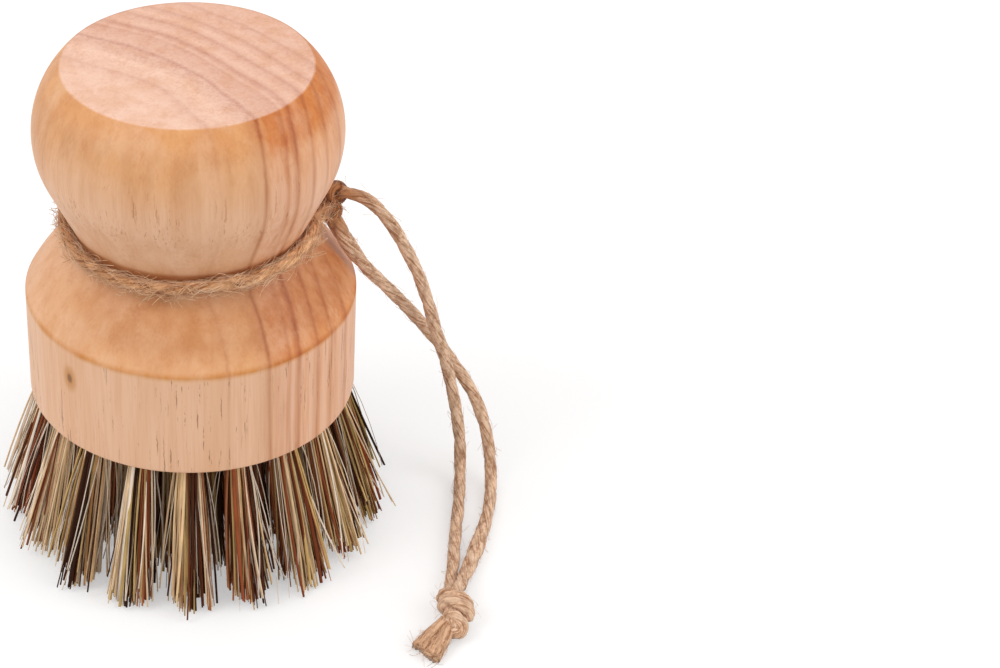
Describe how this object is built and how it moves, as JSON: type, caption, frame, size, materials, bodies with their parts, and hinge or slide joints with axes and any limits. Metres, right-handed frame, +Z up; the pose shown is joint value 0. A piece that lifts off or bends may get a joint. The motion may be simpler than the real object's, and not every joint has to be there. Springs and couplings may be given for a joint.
{
  "type": "palm brush",
  "caption": "Palm brush: a turned wooden knob and round base in one piece, fanned tufts of stiff plant fibre, and a knotted jute hanging cord tied round the waist.",
  "frame": {"origin": "on the brush's axis, in the plane of the bristle tips that it stands on", "axes": "+Z up along the turned body's axis to the flat top of the knob; +X towards the side where the hanging cord is knotted; -Y towards the picture's camera"},
  "size_m": [0.0955, 0.0867, 0.095],
  "materials": {
    "turned_wood": "fine sanded and lightly oiled pale hardwood, satin, with fine vertical grain and end grain on the flat top",
    "plant_fibre": "matte stiff plant fibre, mixed cream, straw, tan, olive and dark brown strands",
    "flat_steel_wire": "flat galvanised steel wire, cut to length",
    "jute": "matte two-ply jute twine, hairy"
  },
  "bodies": {
    "brush": {"wood_body": "turned_wood", "tuft_outer_01": "plant_fibre", "tuft_outer_02": "plant_fibre", "tuft_outer_03": "plant_fibre", "tuft_outer_04": "plant_fibre", "tuft_outer_05": "plant_fibre", "tuft_outer_06": "plant_fibre", "tuft_outer_07": "plant_fibre", "tuft_outer_08": "plant_fibre", "tuft_outer_09": "plant_fibre", "tuft_outer_10": "plant_fibre", "tuft_outer_11": "plant_fibre", "tuft_outer_12": "plant_fibre", "tuft_outer_13": "plant_fibre", "tuft_outer_14": "plant_fibre", "tuft_outer_15": "plant_fibre", "tuft_outer_16": "plant_fibre", "tuft_outer_17": "plant_fibre", "tuft_outer_18": "plant_fibre", "tuft_middle_01": "plant_fibre", "tuft_middle_02": "plant_fibre", "tuft_middle_03": "plant_fibre", "tuft_middle_04": "plant_fibre", "tuft_middle_05": "plant_fibre", "tuft_middle_06": "plant_fibre", "tuft_middle_07": "plant_fibre", "tuft_middle_08": "plant_fibre", "tuft_middle_09": "plant_fibre", "tuft_middle_10": "plant_fibre", "tuft_middle_11": "plant_fibre", "tuft_middle_12": "plant_fibre", "tuft_inner_01": "plant_fibre", "tuft_inner_02": "plant_fibre", "tuft_inner_03": "plant_fibre", "tuft_inner_04": "plant_fibre", "tuft_inner_05": "plant_fibre", "tuft_inner_06": "plant_fibre", "tuft_centre": "plant_fibre", "tuft_anchors": "flat_steel_wire"},
    "cord": {"cord_waist_loop": "jute", "cord_waist_knot": "jute", "cord_upper_leg": "jute", "cord_lower_leg": "jute", "cord_end_knot": "jute", "cord_cut_ends": "jute"}
  },
  "joints": [
    {"name": "cord_turn", "type": "hinge", "parent": "brush", "child": "cord", "pos_m": [0, 0, 0.0632], "axis": [0, 0, 1], "continuous": true}
  ]
}
